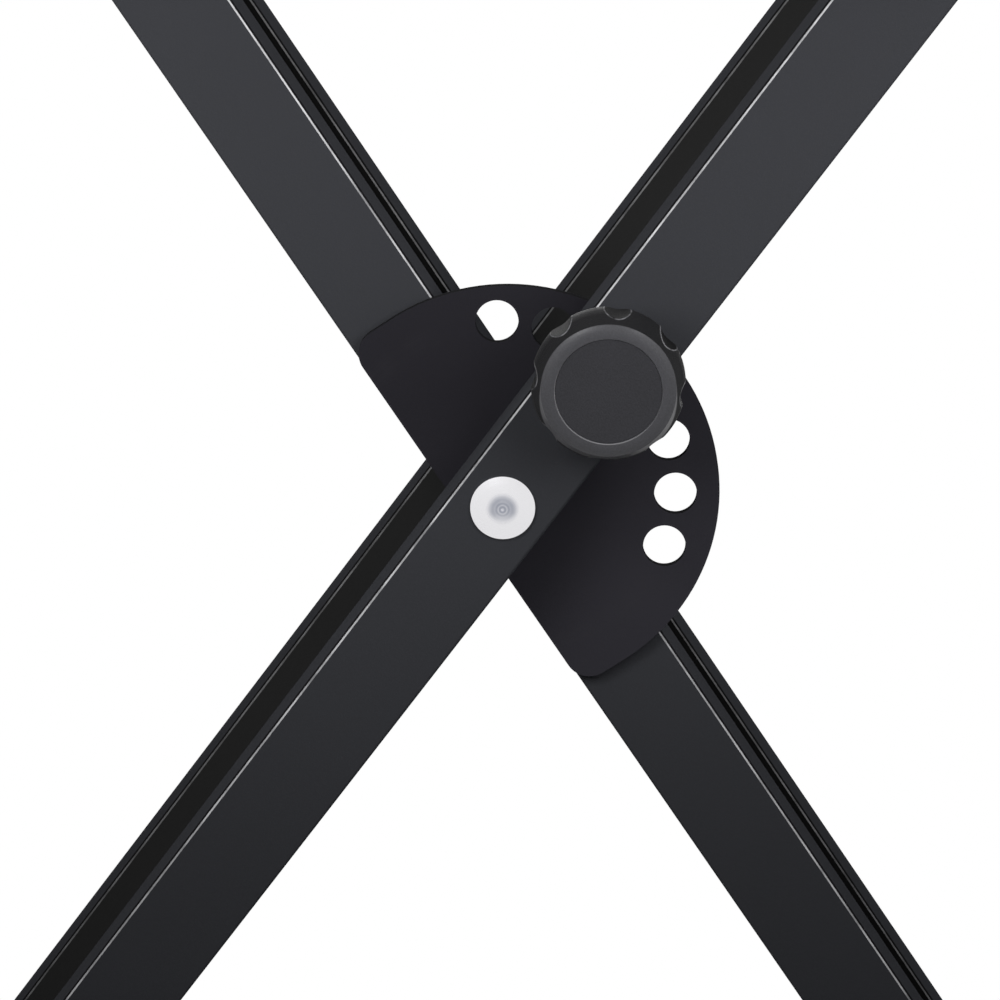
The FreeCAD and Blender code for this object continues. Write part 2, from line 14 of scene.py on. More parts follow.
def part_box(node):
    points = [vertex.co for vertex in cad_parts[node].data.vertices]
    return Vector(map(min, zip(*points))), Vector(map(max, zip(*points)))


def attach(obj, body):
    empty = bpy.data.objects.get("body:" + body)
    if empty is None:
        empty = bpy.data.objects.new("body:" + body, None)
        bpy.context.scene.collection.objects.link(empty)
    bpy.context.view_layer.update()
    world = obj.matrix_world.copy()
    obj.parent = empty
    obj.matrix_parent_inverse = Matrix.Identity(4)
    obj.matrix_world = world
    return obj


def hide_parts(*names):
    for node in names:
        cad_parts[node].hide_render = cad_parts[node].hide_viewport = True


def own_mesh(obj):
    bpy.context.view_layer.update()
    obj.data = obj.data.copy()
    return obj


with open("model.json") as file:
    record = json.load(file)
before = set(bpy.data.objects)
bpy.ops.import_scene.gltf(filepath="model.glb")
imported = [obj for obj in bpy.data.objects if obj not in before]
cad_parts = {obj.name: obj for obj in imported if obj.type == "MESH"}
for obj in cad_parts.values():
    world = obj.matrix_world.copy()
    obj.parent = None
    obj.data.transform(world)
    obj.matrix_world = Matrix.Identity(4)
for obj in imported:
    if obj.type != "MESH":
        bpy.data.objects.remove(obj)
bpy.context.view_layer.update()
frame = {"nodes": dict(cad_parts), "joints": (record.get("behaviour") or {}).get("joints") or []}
nodes = frame["nodes"]

# %% [markdown]
# Everything on the stand turns about a few lines, so those are read from the frame first: the pivot from
# the fold joint, and the depth of each tube from its own box. What follows is placed from them.

# %% Measure the frame
joints = {joint["name"]: joint for joint in frame["joints"]}
pivot = Vector(joints["fold"]["pos_m"])
foot_x = abs(joints["inner_front_levelling"]["pos_m"][0])
foot_z = joints["inner_front_levelling"]["pos_m"][2]
leg_angle = math.atan2(pivot.z - foot_z, foot_x)
lean = math.pi / 2 - leg_angle
front_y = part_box("outer_front_tube")[0].y
print(f"pivot {pivot.z:.4f} m up, front face at {front_y:.4f} m")
print(f"legs at {math.degrees(leg_angle):.1f} degrees")

# %% [markdown]
# A shader is a graph of nodes, and sums read badly as a graph. This small class wraps one socket so that
# sums are written as Python: each operator adds a Math node. All other nodes come from one method, which
# takes the node's type, its settings and what goes into its sockets.

# %% Shader maths as Python expressions
class Wire:
    """One value in a shader."""

    def __init__(self, tree, socket=None):
        self.tree = tree
        self.socket = socket

    def node(self, kind, settings=None, inputs=None, output=0):
        made = self.tree.nodes.new(kind)
        for name, value in (settings or {}).items():
            setattr(made, name, value)
        for name, value in (inputs or {}).items():
            if isinstance(value, Wire):
                self.tree.links.new(value.socket, made.inputs[name])
            else:
                made.inputs[name].default_value = value
        return Wire(self.tree, made.outputs[output] if made.outputs else None)

    def maths(self, operation, first, second=0.0):
        return self.node("ShaderNodeMath", {"operation": operation}, {0: first, 1: second})

    def __add__(self, other):
        return self.maths("ADD", self, other)

    def __radd__(self, other):
        return self.maths("ADD", other, self)

    def __sub__(self, other):
        return self.maths("SUBTRACT", self, other)

    def __rsub__(self, other):
        return self.maths("SUBTRACT", other, self)

    def __mul__(self, other):
        return self.maths("MULTIPLY", self, other)

    def __rmul__(self, other):
        return self.maths("MULTIPLY", other, self)

    def __abs__(self):
        return self.maths("ABSOLUTE", self)

    def least(self, other):
        return self.maths("MINIMUM", self, other)

    def most(self, other):
        return self.maths("MAXIMUM", self, other)

    def rise(self, low, high):
        """0 below low, 1 above high, and smooth between them."""
        inputs = {"Value": self, "From Min": low, "From Max": high}
        return self.node("ShaderNodeMapRange", {"interpolation_type": "SMOOTHSTEP"}, inputs)

    def noise(self, place, scale, detail=2.0, roughness=0.5):
        inputs = {"Vector": place, "Scale": scale, "Detail": detail, "Roughness": roughness}
        return self.node("ShaderNodeTexNoise", {}, inputs)

    def blend(self, factor, first, second):
        """One colour over another."""
        return self.node("ShaderNodeMix", {"data_type": "RGBA"}, {0: factor, 6: first, 7: second}, 2)

    def turned_to(self, place, centre, angles=(0.0, 0.0, 0.0)):
        """The place seen from a centre, with the axes turned."""
        inputs = {"Vector": place, "Location": centre, "Rotation": angles}
        return self.node("ShaderNodeMapping", {"vector_type": "TEXTURE"}, inputs)

    def part(self, place, axis):
        return self.node("ShaderNodeSeparateXYZ", {}, {0: place}, axis)

    def vector(self, operation, first, second=(0.0, 0.0, 0.0), output="Vector"):
        return self.node("ShaderNodeVectorMath", {"operation": operation}, {0: first, 1: second}, output)


print("sums on wires become nodes")

# %% [markdown]
# Every finish starts from an empty material and the place on the object, and ends in one shader that does
# for metal, paint and plastic alike. Relief that is too fine to model goes into that shader as a bump.

# %% Start and end of a finish
def start_finish(name):
    """An empty material, the wire that makes its nodes, and the place on the object."""
    material = bpy.data.materials.new(name)
    material.use_nodes = True
    material.node_tree.nodes.clear()
    wire = Wire(material.node_tree)
    return material, wire, wire.node("ShaderNodeTexCoord", output="Object")


def end_finish(wire, height, depth, **sockets):
    """A Principled shader with its bump, joined to the output."""
    normal = wire.node("ShaderNodeBump", {}, {"Strength": 1.0, "Distance": depth, "Height": height})
    inputs = {name.replace("_", " "): value for name, value in sockets.items()}
    inputs["Normal"] = normal
    shader = wire.node("ShaderNodeBsdfPrincipled", {}, inputs)
    wire.node("ShaderNodeOutputMaterial", {}, {"Surface": shader})


def grey(level, blue=0.0):
    """A near-neutral colour, a little bluer where asked."""
    return (level, level, level * (1.0 + blue), 1.0)


print("finish helpers ready")

# %% [markdown]
# The tubes, bars and arms are steel with a dull black powder coat. Along the long upper edges of the tubes
# a hair line of pale colour runs along the front of each rounded corner as a painted highlight, with a
# dark line of painted shade beside it. The faces of a pair's tubes that look into the gap between them
# are darker, as painted shade. The three zones are masks, measured from the middle of the tube and along
# its lean.

# %% Painted highlight and shade on a tube
TUBE_WIDTH = 0.03
TUBE_CORNER = 0.001
# A rear tube gets this share of the painted highlight.
REAR_HIGHLIGHT = 0.35


def tube_painted_light(node, side, facing):
    """Masks of the painted highlight line and the painted shade line on a tube's upper edges, and of the
    painted shade on its face towards the gap. Side 1 is the outer leg and -1 the inner. Facing 1 is a front
    tube, with the gap at its back, and -1 a rear one, with the gap at its front. A rear tube's painted
    highlight is fainter."""
    low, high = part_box(node)
    middle = Vector((pivot.x, (low.y + high.y) / 2, pivot.z))
    straight = (high.y - low.y) / 2 - TUBE_CORNER

    def masks(wire, place):
        local = wire.turned_to(place, middle, (0.0, side * lean, 0.0))
        across = wire.part(local, "X") * -side - (TUBE_WIDTH / 2 - TUBE_CORNER)
        deep = wire.part(local, "Y")
        # Painted highlight on the front of the upper corner, a painted shade line past it, and painted shade
        # on the face towards the gap.
        rounded = (abs(deep) - straight).rise(-0.4 * TUBE_CORNER, 0.0)
        gap_shade = (deep * facing - straight).rise(0.3 * TUBE_CORNER, 0.9 * TUBE_CORNER)
        past = across.rise(0.5 * TUBE_CORNER, 0.62 * TUBE_CORNER)
        painted_highlight = across.rise(-0.02 * TUBE_CORNER, 0.1 * TUBE_CORNER) * (1.0 - past)
        return painted_highlight * rounded * (1.0 if facing > 0 else REAR_HIGHLIGHT), past * rounded, gap_shade

    return masks


print("wear follows corners of", TUBE_CORNER * 1000, "mm")

# %% [markdown]
# The coat itself is never quite flat: it has a fine orange peel of about a millimetre, a grain finer than
# that, and a slow cloudiness where it went on thicker. Colour, roughness and relief come from the same few
# noises, so that they agree. Each tube gets its own copy of the finish with its own painted highlight and
# shade, and the bars and arms share a plain one.

# %% Powder coat
COAT_DARK = (0.027, 0.0278, 0.031, 1.0)
COAT_PALE = (0.0325, 0.0335, 0.038, 1.0)
COAT_LEVEL = 0.0
COAT_ROUGHNESS = 0.78
# Painted highlight on the upper edges, painted shade beside it, and painted shade on the faces in the gaps.
EDGE_HIGHLIGHT = (0.42, 0.42, 0.43, 1.0)
SHADED = grey(0.004)
WIDE_GAP, NARROW_GAP = grey(0.022), grey(0.007)
PEEL_SCALE = 750.0
GRAIN_SCALE = 3200.0
CLOUD_SCALE = 16.0
# Size of the patches along the painted highlight.
HIGHLIGHT_PATCH_SCALE = 90.0
PEEL_DEPTH = 0.00005


def coat_height(wire, place):
    peel = wire.noise(place, PEEL_SCALE, 1.0)
    grain = wire.noise(place, GRAIN_SCALE, 1.0)
    return peel * 0.7 + grain * 0.3


def powder_coat(name, painted_light=None, gap_shade_colour=None):
    material, wire, place = start_finish(name)
    cloud = wire.noise(place, CLOUD_SCALE, 3.0)
    speck = wire.noise(place, GRAIN_SCALE, 1.0).rise(0.45, 0.75)
    colour = wire.blend(cloud * 0.6 + speck * 0.4, COAT_DARK, COAT_PALE)
    if painted_light:
        # Painted highlight and painted shade on a tube's upper edge and on its face towards the gap.
        painted_highlight, shaded, gap_shade = painted_light(wire, place)
        patchy = painted_highlight * (0.35 + 0.65 * wire.noise(place, HIGHLIGHT_PATCH_SCALE, 4.0, 0.6).rise(0.3, 0.65))
        colour = wire.blend(gap_shade, colour, gap_shade_colour)
        colour = wire.blend(shaded * 0.8, wire.blend(patchy, colour, EDGE_HIGHLIGHT), SHADED)
    end_finish(
        wire, coat_height(wire, place), PEEL_DEPTH,
        Base_Color=colour, Roughness=COAT_ROUGHNESS + cloud * 0.1, Specular_IOR_Level=COAT_LEVEL,
    )
    return material


finishes = {}
for leg, side, gap_shade_colour in (("outer", 1, WIDE_GAP), ("inner", -1, NARROW_GAP)):
    for end, facing in (("front", 1), ("rear", -1)):
        name = f"{leg}_{end}_tube"
        finishes[name] = powder_coat(name + "_coat", tube_painted_light(name, side, facing), gap_shade_colour)
bar_coat = powder_coat("bar_coat")
for name in ("inner_foot_bar", "outer_foot_bar", "inner_arm", "outer_arm"):
    finishes[name] = bar_coat
print("powder coat on", sorted(finishes))

# %% [markdown]
# The locking plate is laser-cut sheet with the same kind of coat, darker and a little more violet. It is
# darker towards its upper end as painted shade, and paler towards its lower end. The rim and the walls of
# the holes are darker, as painted shade. The pin sweeps over the plate whenever the stand is folded, which
# leaves a faint track through the row of holes.

# %% Plate coat
PLATE_DARK = (0.0148, 0.0142, 0.0173, 1.0)
PLATE_PALE = (0.0258, 0.0249, 0.0302, 1.0)
PLATE_REACH = 0.06
# Colour of the painted shade on the rim and the walls of the holes.
PLATE_CUT_SHADE = grey(0.012, 0.05)
PIN_TRACK = (0.03, 0.0295, 0.033, 1.0)
PIN_AXIS = Vector(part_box("lock_pin")[0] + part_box("lock_pin")[1]) / 2
TRACK_RADIUS = (PIN_AXIS - pivot).xz.length
TRACK_HALF_WIDTH = 0.005
TRACK_RING_SCALE = 2600.0
RUB_SCALE = 45.0
CUT_EDGE = 0.0004


def axis_distance(wire, place, centre):
    """Distance from an axis along Y."""
    flat = wire.vector("MULTIPLY", wire.vector("SUBTRACT", place, centre), (1.0, 0.0, 1.0))
    return wire.vector("LENGTH", flat, output="Value")


def plate_coat():
    material, wire, place = start_finish("plate_coat")
    front, back = (corner.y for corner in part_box("locking_plate"))
    depth = wire.part(place, "Y")
    # Painted shade on the cut edges: the rim and the walls of the holes.
    cut = depth.rise(front, front + CUT_EDGE) * (1.0 - depth.rise(back - CUT_EDGE, back))
    cloud = wire.noise(place, CLOUD_SCALE * 1.5, 3.0)
    up_leg = wire.part(wire.turned_to(place, pivot, (0.0, -lean, 0.0)), "Z")
    # Painted shade: darker towards the upper end of the plate, paler towards its lower end.
    unshaded_lower_end = 1.0 - up_leg.rise(-PLATE_REACH, PLATE_REACH)
    radius = axis_distance(wire, place, pivot)
    track = 1.0 - abs(radius - TRACK_RADIUS).rise(0.0, TRACK_HALF_WIDTH)
    along = wire.node("ShaderNodeCombineXYZ", {}, {"X": radius})
    rings = wire.noise(along, TRACK_RING_SCALE, 2.0).rise(0.4, 0.65)
    rub = track * rings * wire.noise(place, RUB_SCALE, 3.0).rise(0.35, 0.7)
    colour = wire.blend(unshaded_lower_end * 0.85 + cloud * 0.15, PLATE_DARK, PLATE_PALE)
    colour = wire.blend(rub * 0.6, colour, PIN_TRACK)
    end_finish(
        wire, coat_height(wire, place), PEEL_DEPTH,
        Base_Color=wire.blend(cut, colour, PLATE_CUT_SHADE), Roughness=COAT_ROUGHNESS + cloud * 0.08 - rub * 0.2,
        Specular_IOR_Level=COAT_LEVEL,
    )
    return material


finishes["locking_plate"] = plate_coat()
print(f"pin track at {TRACK_RADIUS * 1000:.1f} mm from the pivot")

# %% [markdown]
# The pivot head is bright turned steel. A lathe leaves very fine rings about the axis, and the middle,
# where the tool slows down, is rougher and painted darker as a painted dark reflection, with a few coarse
# rings that fade outwards. All of them come from the distance to the pivot's axis. The painted dark
# reflection reaches less far down.

# %% Turned steel
STEEL_BRIGHT = (0.8, 0.795, 0.815, 1.0)
# Colour of the painted dark reflection in the middle of the head.
STEEL_DARK_REFLECTION = (0.33, 0.345, 0.4, 1.0)
COARSE_PITCH = 0.0011
RING_SCALE = 3500.0
RING_DEPTH = 0.00003
SMEAR_SCALE = 320.0
STEEL_ROUGHNESS = 0.22
HEAD_RADIUS = (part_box("pivot_bolt")[1].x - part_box("pivot_bolt")[0].x) / 2


def turned_steel():
    material, wire, place = start_finish("turned_steel")
    radius = axis_distance(wire, place, pivot)
    along = wire.node("ShaderNodeCombineXYZ", {}, {"X": radius})
    rings = wire.noise(along, RING_SCALE, 2.0)
    wave = wire.maths("SINE", radius * (2 * math.pi / COARSE_PITCH))
    coarse = wave * (1.0 - radius.rise(0.0, HEAD_RADIUS * 0.4)) * 0.3
    # Painted dark reflection in the middle of the head, weaker below it.
    reflection_above = (wire.part(place, "Z") - pivot.z).rise(HEAD_RADIUS * -0.42, HEAD_RADIUS * -0.05)
    middle = (1.0 - radius.rise(HEAD_RADIUS * 0.3, HEAD_RADIUS * 0.55)) * (0.35 + reflection_above * 0.65)
    smear = wire.noise(place, SMEAR_SCALE, 3.0)
    dull_and_dark_reflection = (middle * (0.5 + smear * 0.35 + rings * 0.35 - coarse)).least(1.0)
    colour = wire.blend(dull_and_dark_reflection, STEEL_BRIGHT, STEEL_DARK_REFLECTION)
    roughness = STEEL_ROUGHNESS + rings * 0.08 + dull_and_dark_reflection * 0.1
    end_finish(wire, rings, RING_DEPTH, Base_Color=colour, Roughness=roughness, Metallic=1.0)
    return material


finishes["pivot_bolt"] = turned_steel()
print("turned steel on pivot_bolt")

# %% [markdown]
# Nuts, washers, screws and the pin's housing are zinc plated. Zinc has a soft blue-grey shine with a fine,
# uneven spangle, and it dulls in patches where it was handled.

# %% Zinc plate
ZINC_BRIGHT = (0.62, 0.63, 0.65, 1.0)
ZINC_DULL = (0.42, 0.43, 0.44, 1.0)
ZINC_ROUGHNESS = 0.3
SPANGLE_SCALE = 420.0
SPANGLE_DEPTH = 0.00003
PATCH_SCALE = 70.0


def zinc_plate():
    material, wire, place = start_finish("zinc_plate")
    spangle = wire.noise(place, SPANGLE_SCALE, 3.0)
    patch = wire.noise(place, PATCH_SCALE, 3.0).rise(0.35, 0.7)
    colour = wire.blend(patch * 0.6 + spangle * 0.3, ZINC_BRIGHT, ZINC_DULL)
    roughness = ZINC_ROUGHNESS + patch * 0.14 + spangle * 0.08
    end_finish(wire, spangle, SPANGLE_DEPTH, Base_Color=colour, Roughness=roughness, Metallic=1.0)
    return material


zinc = zinc_plate()
zinc_nodes = [
    "pivot_nut", "pivot_washer", "plunger_housing", "housing_gland", "lock_pin", "knob_nut", "knob_screw",
    "inner_cap_washers", "outer_cap_washers", "inner_cap_screws", "outer_cap_screws",
    "inner_crush_sleeves", "outer_crush_sleeves", "pivot_spacer",
]
for name in zinc_nodes:
    finishes[name] = zinc
print("zinc plate on", len(zinc_nodes), "nodes")

# %% [markdown]
# The pin's spring is bare drawn wire. Drawing leaves it darker than the plated pieces, with a thin film of
# oil that lies in uneven streaks.

# %% Spring wire
WIRE_BRIGHT, WIRE_OILY = grey(0.46, 0.02), grey(0.2, 0.02)
WIRE_ROUGHNESS = 0.26
STREAK_SCALE = 900.0
STREAK_DEPTH = 0.00002
OIL_SCALE = 140.0


def spring_wire():
    material, wire, place = start_finish("spring_wire")
    streaks = wire.noise(place, STREAK_SCALE, 3.0, 0.6)
    oil = wire.noise(place, OIL_SCALE, 3.0).rise(0.35, 0.7)
    colour = wire.blend(oil * 0.7 + streaks * 0.2, WIRE_BRIGHT, WIRE_OILY)
    roughness = WIRE_ROUGHNESS + streaks * 0.12
    end_finish(wire, streaks, STREAK_DEPTH, Base_Color=colour, Roughness=roughness, Metallic=1.0)
    return material


finishes["pin_spring"] = spring_wire()
print("drawn wire on pin_spring")

# %% [markdown]
# The small mouldings are dark plastic with the fine sandy texture that a sparked mould gives. The texture
# scatters light, so they look paler and flatter than the smooth coat round them.

# %% Moulded plastic
SAND_SCALE = 1900.0
MOTTLE_SCALE = 55.0
PLASTIC_LEVEL = 0.2
DISC_DARK, DISC_PALE = grey(0.0115, 0.14), grey(0.0205, 0.16)
DISC_ROUGHNESS, DISC_GRAIN = 0.5, 0.00012
NYLON_DARK, NYLON_PALE = grey(0.012), grey(0.018)
NYLON_ROUGHNESS, NYLON_GRAIN = 0.4, 0.00003


def moulded_plastic(name, dark, pale, roughness, grain_depth):
    material, wire, place = start_finish(name)
    sand = wire.noise(place, SAND_SCALE, 2.0, 0.6)
    mottle = wire.noise(place, MOTTLE_SCALE, 3.0)
    colour = wire.blend(sand.rise(0.3, 0.7) * 0.6 + mottle * 0.4, dark, pale)
    end_finish(
        wire, sand, grain_depth,
        Base_Color=colour, Roughness=roughness + mottle * 0.08, Specular_IOR_Level=PLASTIC_LEVEL,
    )
    return material


finishes["knob_cap"] = moulded_plastic("knob_disc", DISC_DARK, DISC_PALE, DISC_ROUGHNESS, DISC_GRAIN)
nylon = moulded_plastic("nylon", NYLON_DARK, NYLON_PALE, NYLON_ROUGHNESS, NYLON_GRAIN)
for name in ("glide_washers", "inner_foot_plugs", "outer_foot_plugs"):
    finishes[name] = nylon
print("plastic on the knob's disc, the plugs and the glide washers")

# %% [markdown]
# The knob has eight finger scoops, whose edges carry a painted highlight. A scoop is a piece of a cylinder,
# so its edge is found by the distance from the scoop's axis. The angle round the knob is first folded onto
# one scoop, so that the same sum serves all eight.

# %% Finger scoops
SCOOPS = 8
SCOOP_TURN = math.radians(30.0) - lean
SCOOP_AXIS = 0.0276
SCOOP_RADIUS = 0.0063
SCOOP_EDGE = 0.0002


def scoop_masks(wire, place, radius):
    """1 on the edges of the finger scoops, and 1 inside them."""
    offset = wire.vector("SUBTRACT", place, PIN_AXIS)
    angle = wire.maths("ARCTAN2", wire.part(offset, "Z"), wire.part(offset, "X"))
    pitch = 2 * math.pi / SCOOPS
    turns = (angle - SCOOP_TURN) * (1 / pitch)
    swing = (turns - wire.maths("ROUND", turns)) * pitch
    along = radius * wire.maths("COSINE", swing) - SCOOP_AXIS
    aside = radius * wire.maths("SINE", swing)
    flat = wire.node("ShaderNodeCombineXYZ", {}, {"X": along, "Y": aside})
    past = wire.vector("LENGTH", flat, output="Value") - SCOOP_RADIUS
    edges = 1.0 - abs(past - SCOOP_EDGE).rise(0.3 * SCOOP_EDGE, SCOOP_EDGE)
    return edges, 1.0 - past.rise(0.2 * SCOOP_EDGE, 0.5 * SCOOP_EDGE)


print(f"{SCOOPS} scoops of {SCOOP_RADIUS * 1000:.1f} mm radius")

# %% [markdown]
# The knob itself is of the same plastic as its disc, with three zones. Its domed rim is polished and shines,
# and is paler than the disc as a painted sheen; on its lower side this zone reaches down to the shoulder,
# as painted light. Its side is dull and darker, as painted shade, and darkest in the scoops. Two kinds of
# edges carry a painted highlight: those of the scoops, and the lip round the disc, most of all at its lower
# left.

# %% Knob plastic
# The rim is paler than the disc, as a painted sheen.
KNOB_DARK, KNOB_PALE = grey(0.02, 0.12), grey(0.032, 0.14)
# Painted shade on the side and in the scoops.
KNOB_SHADED_SIDE = grey(0.006, 0.1)
KNOB_SCOOP_SHADE = grey(0.0025, 0.1)
# Colour of the painted highlight on the scoop edges and the lip round the disc.
KNOB_HIGHLIGHT = grey(0.13, 0.05)
KNOB_ROUGHNESS, KNOB_GRAIN, KNOB_LEVEL = 0.5, 0.0001, 0.08
POLISH, POLISH_ROUGHNESS = 0.55, 0.38
HIGHLIGHT_SPOT_SCALE = 260.0
RIM_DEPTH = 0.0012
SHOULDER_DEPTH = 0.005
LIP_RADIUS = 0.0158
LIP_WIDTH = 0.0002
# The lip's painted highlight is brightest this way, towards the lower left.
LIP_HIGHLIGHT_WAY = (-0.5, 0.0, -0.85)


def knob_plastic():
    material, wire, place = start_finish("knob_plastic")
    sand = wire.noise(place, SAND_SCALE, 2.0, 0.6)
    mottle = wire.noise(place, MOTTLE_SCALE, 3.0)
    radius = axis_distance(wire, place, PIN_AXIS)
    depth = wire.part(place, "Y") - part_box("knob")[0].y
    height = wire.part(place, "Z") - PIN_AXIS.z
    # The lighter rim zone reaches down to the shoulder on the lower side, as painted light.
    lowness = 1.0 - height.rise(-LIP_RADIUS, 0.2 * LIP_RADIUS)
    polished_and_lit_depth = RIM_DEPTH + (SHOULDER_DEPTH - RIM_DEPTH) * lowness
    side = depth.rise(polished_and_lit_depth * 0.9, polished_and_lit_depth * 1.2)
    lip = 1.0 - abs(radius - LIP_RADIUS).rise(0.5 * LIP_WIDTH, LIP_WIDTH)
    way = wire.vector("DOT_PRODUCT", wire.vector("SUBTRACT", place, PIN_AXIS), LIP_HIGHLIGHT_WAY, "Value")
    lip = lip * (0.15 + 0.85 * way.rise(-0.2 * LIP_RADIUS, 0.9 * LIP_RADIUS))
    # Patches along the painted highlight on the scoop edges.
    highlight_patches = wire.noise(place, HIGHLIGHT_SPOT_SCALE, 3.0).rise(0.35, 0.6)
    edges, scooped = scoop_masks(wire, place, radius)
    painted_highlight = (side * edges * highlight_patches).most(lip * (1.0 - side))
    colour = wire.blend(sand.rise(0.3, 0.7) * 0.6 + mottle * 0.4, KNOB_DARK, KNOB_PALE)
    # Painted shade on the side, deepest in the scoops.
    colour = wire.blend(side, colour, wire.blend(scooped, KNOB_SHADED_SIDE, KNOB_SCOOP_SHADE))
    # Painted highlight on the scoop edges and the lip.
    colour = wire.blend(painted_highlight * 0.8, colour, KNOB_HIGHLIGHT)
    end_finish(
        wire, sand, KNOB_GRAIN,
        Base_Color=colour, Roughness=KNOB_ROUGHNESS + mottle * 0.08 + side * 0.2,
        Specular_IOR_Level=KNOB_LEVEL, Coat_Weight=(1.0 - side) * POLISH, Coat_Roughness=POLISH_ROUGHNESS,
    )
    return material


finishes["knob"] = knob_plastic()
print(f"knob's rim {RIM_DEPTH * 1000:.1f} mm deep, {SHOULDER_DEPTH * 1000:.1f} mm on its lower side")

# %% [markdown]
# Grips, end caps and foot caps are rubber: very dark, dull, and dusty where they are handled or stand on a
# floor.

# %% Rubber
RUBBER_DARK, RUBBER_DUSTY = grey(0.011), grey(0.022)
RUBBER_ROUGHNESS, RUBBER_LEVEL = 0.62, 0.15
SKIN_SCALE, SKIN_DEPTH = 1300.0, 0.0001
DUST_SCALE = 35.0


def rubber():
    material, wire, place = start_finish("rubber")
    skin = wire.noise(place, SKIN_SCALE, 2.0)
    dust = wire.noise(place, DUST_SCALE, 5.0, 0.6).rise(0.45, 0.75)
    colour = wire.blend(dust * 0.7 + skin * 0.3, RUBBER_DARK, RUBBER_DUSTY)
    end_finish(
        wire, skin, SKIN_DEPTH,
        Base_Color=colour, Roughness=RUBBER_ROUGHNESS + dust * 0.15, Specular_IOR_Level=RUBBER_LEVEL,
    )
    return material


black_rubber = rubber()
rubber_nodes = [name for name in nodes if name.endswith(("_foot_cap", "_arm_sleeves", "_arm_end_caps"))]
for name in rubber_nodes:
    finishes[name] = black_rubber
print("rubber on", len(rubber_nodes), "nodes")

# %% [markdown]
# Every node comes with one material slot, and its finish goes there. A node without a finish would be
# listed here as left plain.

# %% Finishes on the nodes
for name, material in finishes.items():
    nodes[name].material_slots[0].material = material
print("finished nodes:", len(finishes), "left plain:", sorted(set(nodes) - set(finishes)))

# %% [markdown]
# The tubes are welded to the foot bars and arms, and the locking plate to its tube. A weld bead is a row of
# small ripples, which the torch leaves one over the other. A swept tube would look like cord, so one ripple
# is modelled instead, from a ball that is pressed flat and tilted. Copies of it are set along a seam,
# joined, and remeshed into one closed skin.

# %% Weld ripple
RIPPLE_RADIUS = 0.0021
RIPPLE_FLATNESS = 0.5
RIPPLE_TILT = math.radians(25.0)
RIPPLE_SEGMENTS, RIPPLE_RINGS = 16, 8

bpy.ops.object.select_all(action="DESELECT")
bpy.ops.mesh.primitive_uv_sphere_add(segments=RIPPLE_SEGMENTS, ring_count=RIPPLE_RINGS, radius=RIPPLE_RADIUS)
ripple = bpy.context.active_object
ripple.name = "weld_ripple"
bpy.ops.object.mode_set(mode="EDIT")
bpy.ops.transform.resize(value=(1.0, 1.0, RIPPLE_FLATNESS))
bpy.ops.transform.rotate(value=RIPPLE_TILT, orient_axis="X", center_override=(0.0, 0.0, 0.0))
bpy.ops.object.mode_set(mode="OBJECT")
print("ripple of", len(ripple.data.polygons), "faces")

# %% [markdown]
# A bead follows its seam: at each point a copy of the ripple is turned along the seam, so that every ripple
# leans on the one before. A voxel remesh melts them together and leaves no inner faces, and a light
# smoothing takes away the steps of the voxels. A finished bead is copied to each joint that has the same
# seam.

# %% A bead along a seam
RIPPLE_STEP = 0.0015
SKIN_SIZE = 0.0004
SKIN_SMOOTHING, SKIN_PASSES = 0.5, 2


def apply_modifier(piece, kind, **settings):
    modifier = piece.modifiers.new(kind.lower(), kind)
    for name, value in settings.items():
        setattr(modifier, name, value)
    bpy.ops.object.modifier_apply(modifier=modifier.name)


def weld_bead(seam, closed):
    """One skin over the ripples along a seam, modelled where the seam is."""
    bpy.ops.object.select_all(action="DESELECT")
    last = len(seam) - 1
    for index, point in enumerate(seam):
        ahead = seam[(index + 1) % len(seam) if closed else min(index + 1, last)]
        behind = seam[index - 1 if closed else max(index - 1, 0)]
        turn = (ahead - behind).to_track_quat("Z", "Y").to_matrix().to_4x4()
        step = ripple.copy()
        step.data = ripple.data.copy()
        step.data.transform(Matrix.Translation(point) @ turn)
        bpy.context.collection.objects.link(step)
        step.select_set(True)
    bpy.context.view_layer.objects.active = step
    bpy.ops.object.join()
    bead = bpy.context.active_object
    apply_modifier(bead, "REMESH", mode="VOXEL", voxel_size=SKIN_SIZE)
    apply_modifier(bead, "SMOOTH", factor=SKIN_SMOOTHING, iterations=SKIN_PASSES)
    bpy.ops.object.shade_smooth()
    bead.data.materials.clear()
    bead.data.materials.append(bar_coat)
    return bead


def copied(piece, name, place, body):
    """A copy of a piece with its own mesh, moved to its place and tied to its body."""
    copy = piece.copy()
    copy.data = piece.data.copy()
    copy.name = name
    copy.data.transform(place)
    bpy.context.collection.objects.link(copy)
    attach(copy, body)
    return copy


print("beads follow seams at steps of", RIPPLE_STEP * 1000, "mm")

# %% [markdown]
# A tube's end is cut to a saddle, so its seam is an arc over the front and back faces and a straight run
# along each side. The outline is drawn as short straight pieces, and points at even steps are then picked
# along it, one for each ripple.

# %% Seam of a saddle
SEAM_OFFSET = 0.0005
ARC_STEPS = 40


def spaced(outline, step):
    """Points at even steps round a closed outline."""
    edges = list(zip(outline, outline[1:] + outline[:1]))
    total = sum((end - start).length for start, end in edges)
    count = round(total / step)
    points, done = [], 0.0
    for start, end in edges:
        length = (end - start).length
        while len(points) < count and len(points) * total / count < done + length:
            points.append(start.lerp(end, (len(points) * total / count - done) / length))
        done += length
    return points


